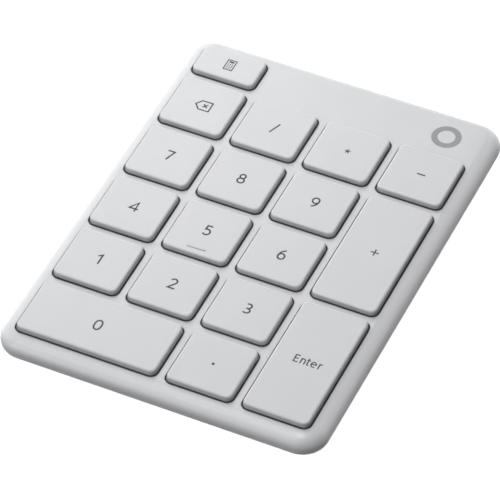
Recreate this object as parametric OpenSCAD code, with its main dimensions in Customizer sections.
// Wireless numeric keypad: a thin slab with eighteen sprung keys, standing on a bar under its
// rear edge that holds the coin cell and the circuit board.
//
// Every module works in the deck's frame: X to the right, Y to the back, Z square to the deck,
// with zero at the middle of the slab's underside. on_desk() then leans that frame back by the
// tilt and stands it on its feet, so the finished part rests on Z = 0.

/* [Keys] */
// Distance from one column of keys to the next
pitch_x = 19; // [19:0.05:19.4]
// Distance from one row of keys to the next
pitch_y = 18.6; // [18.55:0.05:19]
// Width of the strip of deck between two keys
web = 1.7; // [1.65:0.05:1.8]
// Front-to-back size of the calculator key's opening
calculator_d = 10.3; // [10.3:0.1:11]
// Corner radius of a key's opening
opening_r = 2; // [1.9:0.05:2.1]
// Gap round a keycap in its opening
key_gap = 0.37; // [0.32:0.01:0.4]
// Height of a keycap above the deck
key_rise = 1.4; // [1.4:0.05:1.6]
// How far a key goes down
key_travel = 1.3; // [1:0.05:1.3]

/* [Case] */
// Thickness of the slab, from its underside to the deck
slab_t = 5.8; // [5.8:0.05:6]
// Thickness of the deck
deck_t = 1.2; // [1.1:0.05:1.2]
// Rim of the case beside and in front of the keys
margin = 3.8; // [3.7:0.1:4.2]
// Rim of the case behind the calculator key
back_margin = 4.3; // [4.2:0.1:4.6]
// Corner radius of the case, seen from above
corner_r = 6.4; // [6:0.1:7]
// Radius of the rolled upper edge
edge_top_r = 3.75; // [3.5:0.05:3.75]
// Radius of the rolled lower edge
edge_bottom_r = 2; // [1.8:0.05:2]
// Thickness of the side walls
wall = 2.9; // [2.8:0.05:2.95]
// Thickness of the bottom cover
cover_t = 1.2; // [1.15:0.05:1.2]

/* [Stand] */
// Angle of the deck to the desk, in degrees
tilt = 1.8; // [1.7:0.05:1.9]
// How far the rear bar hangs below the slab
bar_drop = 3.8; // [3.8:0.02:3.9]
// Width of the rear bar
bar_w = 72; // [71:0.5:73]
// Front-to-back size of the rear bar
bar_d = 28; // [28:0.1:28.4]
// Height of the front feet
front_foot_h = 1.9; // [1.8:0.05:2]

/* [Battery] */
// Diameter of the coin cell
cell_dia = 20; // [20:0.1:20.2]
// Thickness of the coin cell
cell_t = 3.2; // [3:0.05:3.2]
// Turn that frees the battery cover, in degrees
cover_turn = 60; // [50:5:60]

/* [Hidden] */
$fn = 48;
cut = 0.5;           // how far a cutting solid runs past a face
fit = 0.1;           // clearance round parts that drop into place
join = 0.1;          // how far a solid runs into the one that it is fused to
touch = 0.02;        // gap between parts that rest on each other
flat = 0.01;         // flat left between the two corners of a rounded end

// Each key: name, column, row, columns wide, rows deep (0.5 marks the shallow calculator key)
KEYS = [
    ["0", 0, 0, 2, 1], ["point", 2, 0, 1, 1], ["enter", 3, 0, 1, 2],
    ["1", 0, 1, 1, 1], ["2", 1, 1, 1, 1], ["3", 2, 1, 1, 1],
    ["4", 0, 2, 1, 1], ["5", 1, 2, 1, 1], ["6", 2, 2, 1, 1], ["plus", 3, 2, 1, 2],
    ["7", 0, 3, 1, 1], ["8", 1, 3, 1, 1], ["9", 2, 3, 1, 1],
    ["backspace", 0, 4, 1, 1], ["divide", 1, 4, 1, 1], ["multiply", 2, 4, 1, 1], ["minus", 3, 4, 1, 1],
    ["calculator", 0, 5, 1, 0.5]
];
WIDE_KEYS = [for (k = KEYS) if (k[3] * k[4] > 1) k];

// Outline of the case and of the key field
columns = 4;
rows = 5;
field_w = columns * pitch_x - web;
case_w = field_w + 2 * margin;
case_d = rows * pitch_y + calculator_d + margin + back_margin;
field_x0 = -field_w / 2;
field_y0 = -case_d / 2 + margin;
band_y0 = field_y0 + rows * pitch_y;

// Heights in the deck's frame, from the bottom cover up
plate_z = cover_t + fit / 2;
plate_t = 0.4;
membrane_z = plate_z + plate_t;
membrane_t = 0.25;
guide_z = membrane_z + membrane_t;
guide_t = 0.7;
guide_top = guide_z + guide_t;
ceiling_z = slab_t - deck_t;
sheet_past_keys = 0.6;   // how far the sheets run past the keys they serve
plate_play = 0.3;        // gap between each sheet and the side walls
guide_play = 0.2;
membrane_play = 0.4;
membrane_hole_r = 1.2;   // round the screws
tail_w = 6;              // the membrane's tail, which bends down to the circuit board
tail_root = 2;

// Keycap: a hollow shell with a flange that the deck holds down and a round stem
cap_wall = 0.9;
roof_t = 1;
cap_top = slab_t + key_rise;
roof_z = cap_top - roof_t;
cap_r = opening_r - key_gap;
cap_draft = 0.16;
cap_edge_r = 0.5;
flange_out = 0.3;
flange_t = 0.5;
flange_play = 0.08;
flange_top = ceiling_z - flange_play;
flange_z = flange_top - flange_t;
stem_r = 4.3;
stem_wall = 0.75;
stem_z = 3.4;
small_stem_r = 2.9;
push_r = 1.5;        // the pin inside the stem that presses the dome
push_gap = 0.5;
stem_play = 0.15;
sleeve_wall = 0.75;
dome_top = 4.73;
dome_taper = 0.58;   // the dome's top radius as a share of its foot's
dome_roof = 0.7;
dome_lip = 0.35;
dome_wall = 0.35;
dome_foot_w = 0.75;
homing_w = 4.8;      // the raised bar that marks the middle key
homing_d = 0.55;
homing_h = 0.25;
homing_from_front = 2.3;

// Stabiliser wire of a wide key
wire_r = 0.4;
wire_play = 0.05;
wire_z = 3.5;
wire_side = 6;       // from the key's middle to the wire's long bar
wire_arm = 5;
wire_half = 12;      // half the length of the long bar
wire_end = 1.9;
wire_lift = asin(key_travel / 2 / wire_arm);
hook_at = 7;         // the guide plate's hooks that the long bar turns in
hook_w = 2.4;
hook_d = 1.5;
hook_over = 0.8;
hook_mouth = 0.6;
clip_at = wire_half + 0.6;   // the cap's clips that the wire's ends slide in
clip_w = 1;
clip_d = 2.4;
clip_wall = 0.4;
clip_lip = 0.35;
window_at = clip_at + 0.05;  // the windows in the guide plate that the clips drop through
window_w = 2.7;
window_d = 3.8;
window_front = 1.6;

// Rear bar, battery and the bay for the electronics
bar_r = 5;
bar_edge_r = 1.2;
bar_rim_r = 0.2;
bar_y = case_d / 2 - 3.7 - bar_d / 2;
bar_floor = 1;
bar_z = -bar_drop;
bay_z = bar_z + bar_floor;
cell_x = -17;
cell_play = 0.35;
cell_z = bay_z + fit / 2;
cap_lug_out = 12.4;
mouth_r = 11.45;
battery_cover_r = mouth_r - 0.15;
groove_r = cap_lug_out + 0.2;
groove_h = 0.9;
notch_r = cap_lug_out + 0.1;
first_lug = 30;      // where the first lug is, in degrees from the right
lug_span = 36;
notch_span = 42;
lug_count = 3;
chamber_top = 0.9;
bay_x = 18.5;
bay_w = 28;
bay_d = 23;
bay_r = 1;
contact_t = 0.2;     // sheet of the battery contacts
contact_w = 2;
leaf_w = 3.6;
strip_z = chamber_top - 0.25;
negative_y = bar_y - 5;
positive_y = bar_y - 1.5;
arm_x = cell_x - 5;  // tip of the spring arm over the cell
arm_l = 10.8;
arm_tip = 1.2;
arm_root = 0.3;
pad_x = bay_x - bay_w / 2 + 3;   // the pads on the board that the contacts stand on
channel_play = 0.3;
channel_z = 0.45;
channel_x = cell_x + 5;
leaf_pocket = 1.3;
cell_step = 1.1;     // the cell's narrower cap
cell_step_h = 0.3;
ring_h = 0.8;        // the battery cover's ring, which its lugs stand on
ring_r = cell_dia / 2 + cell_play;
lug_root = 0.2;
coin_slot = [14, 1.5, 0.5];

// Circuit board, the parts on it and the controls in the bar's face
board_w = 26;
board_d = 21;
board_t = 0.8;
board_top = 0;
board_z = board_top - board_t;
board_r = 1;
post_x = board_w / 2 - 2;    // from the board's middle to its posts
post_y = board_d / 2 - 1.6;
post_r = 1.2;
post_pin_r = 0.5;
post_pin_over = 0.3;
module_at = [-4, -4.5];      // from the board's middle to the radio module's
module_size = [10, 8, 1.2];
shield_size = [11, 9, 0.4];
connector_at = [-2.5, 5];
connector_size = [8, 2.8, 0.95];
connector_front = 1.2;
connector_slot = [6.2, 0.35, 0.7];
controls_y = bar_y + 6;
switch_x = bay_x + 3.5;
switch_travel = 2;
switch_body = [7, 3.4, 1.3];
switch_window = [4, 2, 0.8];
switch_seat = [6, 3.2, 0.6]; // the recess under the bar that the slider moves in
switch_slot = [3.8, 1.8];
slider_size = [3.6, 2.6, 0.45];
slider_stem = 1.5;
slider_pitch = 0.9;          // the grip grooves
groove_w = 0.3;
groove_deep = 0.2;
recess = 0.05;               // how far the controls sit inside the bar's face
button_x = bay_x - 7;
button_r = 1.5;
button_flange_r = 2.2;
button_flange_t = 0.5;
button_switch = [3.4, 3.4, 0.9];
button_switch_r = 0.7;
button_switch_h = 0.15;
led_x = bay_x - 2;
led_size = [1.6, 0.8, 0.6];
pipe_r = 0.8;
pipe_flange_r = 1.3;
pipe_flange_t = 0.5;

// Screws, at the crossings of the webs where four keys or the rear band leave room for a boss
SCREWS = [[2, 1], [1, 2], [3, 2], [1, 4], [3, 4], [2, 5]];
boss_r = 1.4;
screw_r = 0.7;
screw_head_r = 1.4;
screw_head_h = 0.8;
screw_len = 4.1;
bore_over = 0.2;     // depth left past the end of a screw
access_play = 0.4;
cross_l = 1.6;       // the cross slot in a screw's head
cross_w = 0.3;
cross_deep = 0.4;

// Feet: middle, size along X, size along Y
front_foot = [28, -case_d / 2 + 9.7, 12, 5];
rear_foot = [32.2, bar_y, 4.4, 14];
foot_seat = 0.3;
foot_blank = 4;      // height of a foot before its base is cut level

// Lean of the deck and the lift that brings the feet to the desk
widest_z = (slab_t - edge_top_r + edge_bottom_r) / 2;
desk_lift = front_foot_h * cos(tilt) - front_foot[1] * sin(tilt);
desk_shift = widest_z * sin(tilt);

function key_w(k) = k[3] * pitch_x - web;
function key_d(k) = k[4] < 1 ? calculator_d : k[4] * pitch_y - web;
function key_x(k) = field_x0 + k[1] * pitch_x + key_w(k) / 2;
function key_y(k) = field_y0 + k[2] * pitch_y + key_d(k) / 2;
function key_stem_r(k) = k[4] < 1 ? small_stem_r : stem_r;
function lug_turn(i) = i * 360 / lug_count + first_lug;
function is_wide(k) = k[3] * k[4] > 1;
function wire_turn(k) = k[3] > 1 ? 0 : -90;
function crossing(c) = [field_x0 + c[0] * pitch_x - web / 2, field_y0 + c[1] * pitch_y - web / 2];

// ---- Shapes used by several parts ----

module on_desk() {
    translate([0, desk_shift, desk_lift])
        rotate([tilt, 0, 0])
            children();
}

module quarter_disc(r) {
    intersection() {
        circle(r);
        square(r);
    }
}

module rounded_rect(w, d, r) {
    square([w - 2 * r, d], center = true);
    square([w, d - 2 * r], center = true);
    for (i = [0 : 3])
        translate([(i == 0 || i == 3 ? 1 : -1) * (w / 2 - r), (i < 2 ? 1 : -1) * (d / 2 - r)])
            rotate(i * 90)
                quarter_disc(r);
}

module rounded_prism(w, d, h, r) {
    linear_extrude(h)
        rounded_rect(w, d, r);
}

// A rounded rectangular block whose edge follows the profile given as its child. The profile
// lies in the first quadrant, with the corner's axis at x = 0 and the outer face at x = r.
module swept_block(w, d, h, r) {
    for (i = [0 : 3]) {
        across = (i % 2 == 0 ? w : d) / 2 - r;
        along = (i % 2 == 0 ? d : w) - 2 * r;
        translate([(i == 0 || i == 3 ? 1 : -1) * (w / 2 - r), (i < 2 ? 1 : -1) * (d / 2 - r), 0])
            rotate(i * 90)
                rotate_extrude(angle = 90)
                    children();
        rotate(i * 90)
            translate([across, along / 2, 0])
                rotate([90, 0, 0])
                    linear_extrude(along)
                        children();
    }
    translate([r - w / 2, r - d / 2, 0])
        cube([w - 2 * r, d - 2 * r, h]);
}

module rolled_edge(r, h, top_r, bottom_r) {
    difference() {
        union() {
            square([r, h - top_r]);
            square([r - top_r, h]);
            translate([r - top_r, h - top_r])
                quarter_disc(top_r);
        }
        translate([r - bottom_r, bottom_r])
            mirror([0, 1])
                difference() {
                    square(bottom_r + cut);
                    circle(bottom_r);
                }
    }
}

// The stacked sheets under the keys share one outline, with an arm under the calculator key
module sheet_outline(play) {
    sheet_w = case_w - 2 * (wall + play);
    front_y = -case_d / 2 + wall + play;
    main_d = band_y0 + sheet_past_keys - play - front_y;
    arm_w = pitch_x + sheet_past_keys - play;
    arm_d = case_d / 2 - wall - play - front_y;
    sheet_r = corner_r - wall - play;
    translate([0, front_y + main_d / 2])
        rounded_rect(sheet_w, main_d, sheet_r);
    translate([-sheet_w / 2 + arm_w / 2, front_y + arm_d / 2])
        rounded_rect(arm_w, arm_d, sheet_r);
}

module screw_holes(r, z, h) {
    for (c = SCREWS)
        translate([crossing(c)[0], crossing(c)[1], z])
            cylinder(r = r, h = h);
}

// ---- Case ----

module top_case() {
    color("gainsboro") {
        difference() {
            swept_block(case_w, case_d, slab_t, corner_r)
                rolled_edge(corner_r, slab_t, edge_top_r, edge_bottom_r);
            translate([0, 0, -cut])
                rounded_prism(case_w - 2 * wall, case_d - 2 * wall, ceiling_z + cut, corner_r - wall);
            for (k = KEYS)
                translate([key_x(k), key_y(k), ceiling_z - cut])
                    rounded_prism(key_w(k), key_d(k), deck_t + 2 * cut, opening_r);
        }
        difference() {
            screw_holes(boss_r, guide_top, ceiling_z - guide_top);
            screw_holes(screw_r, guide_top - cut, cut + screw_len - guide_top + bore_over);
        }
    }
}

module battery_hollow() {
    translate([cell_x, bar_y, 0]) {
        translate([0, 0, bar_z - cut])
            cylinder(r = mouth_r, h = bar_floor + cut);
        translate([0, 0, bay_z])
            cylinder(r = groove_r, h = groove_h);
        translate([0, 0, bay_z + groove_h])
            cylinder(r = cell_dia / 2 + cell_play, h = chamber_top - bay_z - groove_h);
        for (i = [0 : lug_count - 1])
            rotate(lug_turn(i) + cover_turn - notch_span / 2)
                translate([0, 0, bar_z - cut])
                    rotate_extrude(angle = notch_span)
                        translate([mouth_r - cut, 0])
                            square([notch_r - mouth_r + cut, bar_floor + 2 * cut]);
    }
}

module contact_channels() {
    pocket_z = bay_z + groove_h;
    for (y = [negative_y, positive_y])
        translate([channel_x, y - contact_w / 2 - channel_play, channel_z])
            cube([bay_x - bay_w / 2 + cut - channel_x, contact_w + 2 * channel_play, cover_t]);
    translate([cell_x + cell_dia / 2 - channel_play, positive_y - leaf_w / 2 - channel_play, pocket_z])
        cube([leaf_pocket, leaf_w + 2 * channel_play, cover_t + cut - pocket_z]);
}

module control_openings() {
    translate([switch_x - switch_seat[0] / 2, controls_y - switch_seat[1] / 2, bar_z - cut])
        cube([switch_seat[0], switch_seat[1], switch_seat[2] + cut]);
    translate([switch_x - switch_slot[0] / 2, controls_y - switch_slot[1] / 2, bar_z - cut])
        cube([switch_slot[0], switch_slot[1], bar_floor + 2 * cut]);
    translate([button_x, controls_y, bar_z - cut])
        cylinder(r = button_r + fit, h = bar_floor + 2 * cut);
    translate([led_x, controls_y, bar_z - cut])
        cylinder(r = pipe_r + fit / 2, h = bar_floor + 2 * cut);
}

module at_posts() {
    for (x = [-1, 1], y = [-1, 1])
        translate([bay_x + x * post_x, bar_y + y * post_y, 0])
            children();
}

module board_posts() {
    at_posts()
        translate([0, 0, bay_z - join]) {
            cylinder(r = post_r, h = board_z - bay_z + join);
            cylinder(r = post_pin_r, h = board_top + post_pin_over - bay_z + join);
        }
}

module foot_pads(extra, depth) {
    for (side = [-1, 1]) {
        translate([side * front_foot[0], front_foot[1], foot_seat - depth])
            rounded_prism(front_foot[2] + extra, front_foot[3] + extra, depth,
                          (front_foot[3] + extra) / 2 - flat);
        translate([side * rear_foot[0], rear_foot[1], bar_z + foot_seat - depth])
            rounded_prism(rear_foot[2] + extra, rear_foot[3] + extra, depth,
                          (rear_foot[2] + extra) / 2 - flat);
    }
}

module bottom_cover() {
    color("lightgray") {
        difference() {
            union() {
                rounded_prism(case_w - 2 * wall - 2 * fit, case_d - 2 * wall - 2 * fit, cover_t,
                              corner_r - wall - fit);
                translate([0, bar_y, bar_z])
                    swept_block(bar_w, bar_d, bar_drop + cover_t / 2, bar_r)
                        rolled_edge(bar_r, bar_drop + cover_t / 2, bar_rim_r, bar_edge_r);
            }
            battery_hollow();
            contact_channels();
            control_openings();
            translate([bay_x, bar_y, bay_z])
                rounded_prism(bay_w, bay_d, cover_t + cut - bay_z, bay_r);
            screw_holes(screw_r + fit, -cut, cover_t + 2 * cut);
            for (c = SCREWS)
                translate([crossing(c)[0], crossing(c)[1], 0])
                    cylinder(r1 = screw_head_r + fit / 2, r2 = screw_r + fit / 2, h = screw_head_h);
            translate([crossing(SCREWS[5])[0], crossing(SCREWS[5])[1], bar_z - cut])
                cylinder(r = screw_head_r + access_play, h = bar_drop + cut);
            foot_pads(2 * touch, foot_seat + cut);
        }
        board_posts();
    }
}

module case_screws() {
    color("silver")
        for (c = SCREWS)
            translate([crossing(c)[0], crossing(c)[1], 0])
                difference() {
                    union() {
                        cylinder(r1 = screw_head_r, r2 = screw_r, h = screw_head_h);
                        cylinder(r = screw_r, h = screw_len);
                    }
                    for (turn = [0, 90])
                        rotate(turn)
                            translate([-cross_l / 2, -cross_w / 2, -cut])
                                cube([cross_l, cross_w, cut + cross_deep]);
                }
}

module rubber_feet() {
    color("dimgray")
        difference() {
            on_desk()
                foot_pads(0, foot_blank);
            translate([-case_w, -case_d, -2 * foot_blank])
                cube([2 * case_w, 2 * case_d, 2 * foot_blank]);
        }
}

// ---- Sheets under the keys ----

module guide_plate() {
    color("whitesmoke")
        difference() {
            union() {
                translate([0, 0, guide_z])
                    linear_extrude(guide_t)
                        sheet_outline(guide_play);
                for (k = KEYS)
                    translate([key_x(k), key_y(k), guide_z])
                        cylinder(r = key_stem_r(k) + stem_play + sleeve_wall, h = ceiling_z - guide_z);
                for (k = WIDE_KEYS)
                    translate([key_x(k), key_y(k), 0])
                        rotate(wire_turn(k))
                            wire_hooks();
            }
            for (k = KEYS)
                translate([key_x(k), key_y(k), guide_z - cut])
                    cylinder(r = key_stem_r(k) + stem_play, h = ceiling_z - guide_z + 2 * cut);
            for (k = WIDE_KEYS)
                translate([key_x(k), key_y(k), 0])
                    rotate(wire_turn(k))
                        clip_windows();
            screw_holes(screw_r + fit, guide_z - cut, guide_t + 2 * cut);
        }
}

module wire_hooks() {
    for (side = [-1, 1])
        translate([side * hook_at, wire_side, 0])
            difference() {
                translate([-hook_w / 2, -hook_d / 2, guide_top - join])
                    cube([hook_w, hook_d, wire_z + hook_over - guide_top + join]);
                translate([-hook_w, 0, wire_z])
                    rotate([0, 90, 0])
                        cylinder(r = wire_r + wire_play, h = 2 * hook_w);
                translate([-hook_w, -hook_mouth / 2, wire_z])
                    cube([2 * hook_w, hook_mouth, 2 * hook_over]);
            }
}

module clip_windows() {
    for (side = [-1, 1])
        translate([side * window_at - window_w / 2, wire_side - wire_arm - window_front, guide_z - cut])
            cube([window_w, window_d, guide_t + 2 * cut]);
}

module membrane() {
    tail_x = bay_x + connector_at[0] - tail_w / 2;
    tail_y = bar_y + connector_at[1] - 0.3;
    tail_z = board_top + 0.3;
    color("lightsteelblue") {
        difference() {
            translate([0, 0, membrane_z])
                linear_extrude(membrane_t) {
                    sheet_outline(membrane_play);
                    translate([tail_x, band_y0 - tail_root])
                        square([tail_w, tail_y - band_y0 + tail_root]);
                }
            screw_holes(membrane_hole_r, membrane_z - cut, membrane_t + 2 * cut);
        }
        translate([tail_x, tail_y - membrane_t, tail_z])
            cube([tail_w, membrane_t, membrane_z + membrane_t / 2 - tail_z]);
    }
}

module backing_plate() {
    color("slategray")
        difference() {
            translate([0, 0, plate_z])
                linear_extrude(plate_t)
                    sheet_outline(plate_play);
            screw_holes(screw_r + 2 * fit, plate_z - cut, plate_t + 2 * cut);
        }
}

// ---- Keys ----

module cap_edge(h) {
    top_r = cap_r - cap_draft;
    polygon([
        [0, 0], [cap_r, 0], [cap_r, h - key_rise], [top_r, h - cap_edge_r],
        [top_r - cap_edge_r, h - cap_edge_r], [top_r - cap_edge_r, h], [0, h]
    ]);
    translate([top_r - cap_edge_r, h - cap_edge_r])
        quarter_disc(cap_edge_r);
}

module stem(r) {
    push_z = dome_top + touch;
    difference() {
        translate([0, 0, stem_z])
            cylinder(r = r, h = roof_z + join - stem_z);
        translate([0, 0, stem_z - cut])
            cylinder(r = r - stem_wall, h = roof_z - stem_z + cut);
    }
    translate([0, 0, push_z])
        cylinder(r = min(push_r, r - stem_wall - push_gap), h = roof_z + join - push_z);
}

module wire_clips() {
    slot_h = 2 * (wire_r + wire_play);
    slot_z = wire_z + key_travel / 2;
    clip_z = slot_z - slot_h / 2 - clip_lip;
    for (side = [-1, 1])
        translate([side * (clip_at + clip_w / 2) - clip_w / 2, wire_side - wire_arm - clip_d / 2, 0])
            difference() {
                translate([0, 0, clip_z])
                    cube([clip_w, clip_d, roof_z + join - clip_z]);
                translate([-cut, clip_wall, slot_z - slot_h / 2])
                    cube([clip_w + 2 * cut, clip_d - 2 * clip_wall, slot_h]);
            }
}

module keycap(k) {
    w = key_w(k) - 2 * key_gap;
    d = key_d(k) - 2 * key_gap;
    shell_h = cap_top - flange_z;
    color("white")
        translate([key_x(k), key_y(k), 0]) {
            difference() {
                union() {
                    translate([0, 0, flange_z])
                        swept_block(w, d, shell_h, cap_r)
                            cap_edge(shell_h);
                    translate([0, 0, flange_z])
                        rounded_prism(key_w(k) + 2 * flange_out, key_d(k) + 2 * flange_out, flange_t,
                                      opening_r + flange_out);
                }
                translate([0, 0, flange_z - cut])
                    rounded_prism(w - 2 * cap_wall, d - 2 * cap_wall, roof_z - flange_z + cut,
                                  cap_r - cap_wall);
            }
            stem(key_stem_r(k));
            if (is_wide(k))
                rotate(wire_turn(k))
                    wire_clips();
            if (k[0] == "5")
                translate([0, homing_from_front - key_d(k) / 2, cap_top - join])
                    rounded_prism(homing_w, homing_d, homing_h + join, homing_d / 2 - flat);
        }
}

module dome(k) {
    foot_r = key_stem_r(k) - stem_wall - stem_play;
    top_r = foot_r * dome_taper;
    h = dome_top - guide_z;
    color("gray")
        translate([key_x(k), key_y(k), guide_z])
            rotate_extrude()
                polygon([
                    [0, h - dome_roof], [0, h], [top_r, h], [top_r, h - dome_roof - 0.05],
                    [foot_r - 0.45, dome_lip + 0.1], [foot_r, dome_lip], [foot_r, 0],
                    [foot_r - dome_foot_w, 0], [top_r - dome_wall, h - dome_roof - 0.25],
                    [top_r - dome_wall - 0.05, h - dome_roof]
                ]);
}

module stabiliser_wire(k) {
    color("lightslategray")
        translate([key_x(k), key_y(k), 0])
            rotate(wire_turn(k))
                translate([0, wire_side, wire_z])
                    rotate([-wire_lift, 0, 0]) {
                        translate([-wire_half, 0, 0])
                            rotate([0, 90, 0])
                                cylinder(r = wire_r, h = 2 * wire_half);
                        for (side = [-1, 1])
                            translate([side * wire_half, 0, 0]) {
                                sphere(wire_r);
                                rotate([90, 0, 0])
                                    cylinder(r = wire_r, h = wire_arm);
                                translate([0, -wire_arm, 0]) {
                                    sphere(wire_r);
                                    rotate([0, side * 90, 0])
                                        cylinder(r = wire_r, h = wire_end);
                                }
                            }
                    }
}

// ---- Electronics ----

module circuit_board() {
    color("seagreen")
        difference() {
            translate([bay_x, bar_y, board_z])
                rounded_prism(board_w, board_d, board_t, board_r);
            at_posts()
                translate([0, 0, board_z - cut])
                    cylinder(r = post_pin_r + fit / 2, h = board_t + 2 * cut);
        }
}

module radio_module() {
    shield_in = 0.2;
    color("silver")
        translate([bay_x + module_at[0], bar_y + module_at[1], board_z - module_size[2] - shield_in]) {
            rounded_prism(module_size[0], module_size[1], module_size[2], 0.5);
            translate([0, 0, module_size[2] + shield_in - shield_size[2]])
                rounded_prism(shield_size[0], shield_size[1], shield_size[2], 0.3);
        }
}

module membrane_connector() {
    slot_z = connector_size[2] - connector_slot[2];
    color("ivory")
        translate([bay_x + connector_at[0], bar_y + connector_at[1], board_top])
            difference() {
                translate([-connector_size[0] / 2, -connector_front, 0])
                    cube(connector_size);
                translate([-connector_slot[0] / 2, -connector_front / 2, slot_z])
                    cube([connector_slot[0], connector_slot[1], connector_slot[2] + cut]);
            }
}

module power_switch_body() {
    color("silver")
        translate([switch_x, controls_y, board_z - switch_body[2]])
            difference() {
                translate([-switch_body[0] / 2, -switch_body[1] / 2, 0])
                    cube(switch_body);
                translate([-switch_window[0] / 2, -switch_window[1] / 2, -cut])
                    cube([switch_window[0], switch_window[1], switch_window[2] + cut]);
            }
}

module power_switch_slider() {
    stem_top = board_z - switch_body[2] + switch_window[2] - fit;
    color("dimgray")
        translate([switch_x - switch_travel / 2, controls_y, bar_z + recess]) {
            translate([-slider_stem / 2, -slider_stem / 2, slider_size[2] - join])
                cube([slider_stem, slider_stem, stem_top - bar_z - recess - slider_size[2] + join]);
            difference() {
                translate([-slider_size[0] / 2, -slider_size[1] / 2, 0])
                    cube(slider_size);
                for (i = [-1 : 1])
                    translate([i * slider_pitch - groove_w / 2, -slider_size[1], -cut])
                        cube([groove_w, 2 * slider_size[1], cut + groove_deep - recess]);
            }
        }
}

module pairing_switch() {
    color("silver")
        translate([button_x, controls_y, board_z - button_switch[2]]) {
            translate([-button_switch[0] / 2, -button_switch[1] / 2, 0])
                cube(button_switch);
            translate([0, 0, -button_switch_h])
                cylinder(r = button_switch_r, h = button_switch_h + join / 2);
        }
}

module pairing_button() {
    flange_at = bar_floor + recess;
    color("dimgray")
        translate([button_x, controls_y, bar_z + recess]) {
            cylinder(r = button_r, h = bar_floor + 2 * join);
            translate([0, 0, flange_at])
                cylinder(r = button_flange_r, h = button_flange_t);
        }
}

module status_led() {
    color("lightyellow")
        translate([led_x - led_size[0] / 2, controls_y - led_size[1] / 2, board_z - led_size[2]])
            cube(led_size);
}

module light_pipe() {
    pipe_top = board_z - led_size[2] - recess;
    color("aliceblue")
        translate([led_x, controls_y, bar_z + recess]) {
            cylinder(r = pipe_r, h = pipe_top - bar_z - recess);
            translate([0, 0, bar_floor - recess])
                cylinder(r = pipe_flange_r, h = pipe_flange_t);
        }
}

// ---- Battery ----

module coin_cell() {
    rim_h = cell_t - cell_step_h;
    color("silver")
        translate([cell_x, bar_y, cell_z]) {
            cylinder(r = cell_dia / 2, h = rim_h);
            translate([0, 0, rim_h])
                cylinder(r = cell_dia / 2 - cell_step, h = cell_step_h);
        }
}

// The strip of a battery contact, from the battery to the pad it stands on at the board's edge
module contact_strip(from_x) {
    translate([from_x, -contact_w / 2, strip_z])
        cube([pad_x - from_x, contact_w, contact_t]);
    translate([pad_x - contact_t, -contact_w / 2, board_top])
        cube([contact_t, contact_w, strip_z - board_top + contact_t / 2]);
}

// The spring arm that rests on the cell's top
module negative_contact() {
    touch_z = cell_z + cell_t + touch;
    color("goldenrod")
        translate([0, negative_y, 0]) {
            contact_strip(arm_x + arm_l - arm_root);
            translate([arm_x, contact_w / 2, 0])
                rotate([90, 0, 0])
                    linear_extrude(contact_w)
                        polygon([
                            [0, touch_z], [arm_tip, touch_z], [arm_l, strip_z],
                            [arm_l, strip_z + contact_t], [0, touch_z + contact_t]
                        ]);
        }
}

// The leaf that stands against the cell's can
module positive_contact() {
    leaf_x = cell_x + cell_dia / 2 + touch;
    leaf_z = bay_z + groove_h + fit;
    color("goldenrod")
        translate([0, positive_y, 0]) {
            contact_strip(leaf_x);
            translate([leaf_x, -leaf_w / 2, leaf_z])
                cube([contact_t, leaf_w, strip_z - leaf_z]);
        }
}

module battery_cover() {
    lug_z = bay_z + fit / 2;
    lug_h = ring_h - fit - fit / 2;
    color("lightgray")
        translate([cell_x, bar_y, 0])
            difference() {
                union() {
                    translate([0, 0, bar_z])
                        cylinder(r = battery_cover_r, h = bar_floor + ring_h);
                    for (i = [0 : lug_count - 1])
                        rotate(lug_turn(i) - lug_span / 2)
                            translate([0, 0, lug_z])
                                rotate_extrude(angle = lug_span)
                                    translate([ring_r + lug_root, 0])
                                        square([cap_lug_out - ring_r - lug_root, lug_h]);
                }
                translate([0, 0, bay_z])
                    cylinder(r = ring_r, h = ring_h + cut);
                translate([-coin_slot[0] / 2, -coin_slot[1] / 2, bar_z - cut])
                    cube([coin_slot[0], coin_slot[1], coin_slot[2] + cut]);
            }
}

// ---- The assembly ----

on_desk() top_case();
on_desk() bottom_cover();
on_desk() guide_plate();
on_desk() membrane();
on_desk() backing_plate();
on_desk() case_screws();
rubber_feet();
for (k = KEYS) {
    on_desk() keycap(k);
    on_desk() dome(k);
}
for (k = WIDE_KEYS)
    on_desk() stabiliser_wire(k);
on_desk() circuit_board();
on_desk() radio_module();
on_desk() membrane_connector();
on_desk() power_switch_body();
on_desk() power_switch_slider();
on_desk() pairing_switch();
on_desk() pairing_button();
on_desk() status_led();
on_desk() light_pipe();
on_desk() coin_cell();
on_desk() negative_contact();
on_desk() positive_contact();
on_desk() battery_cover();
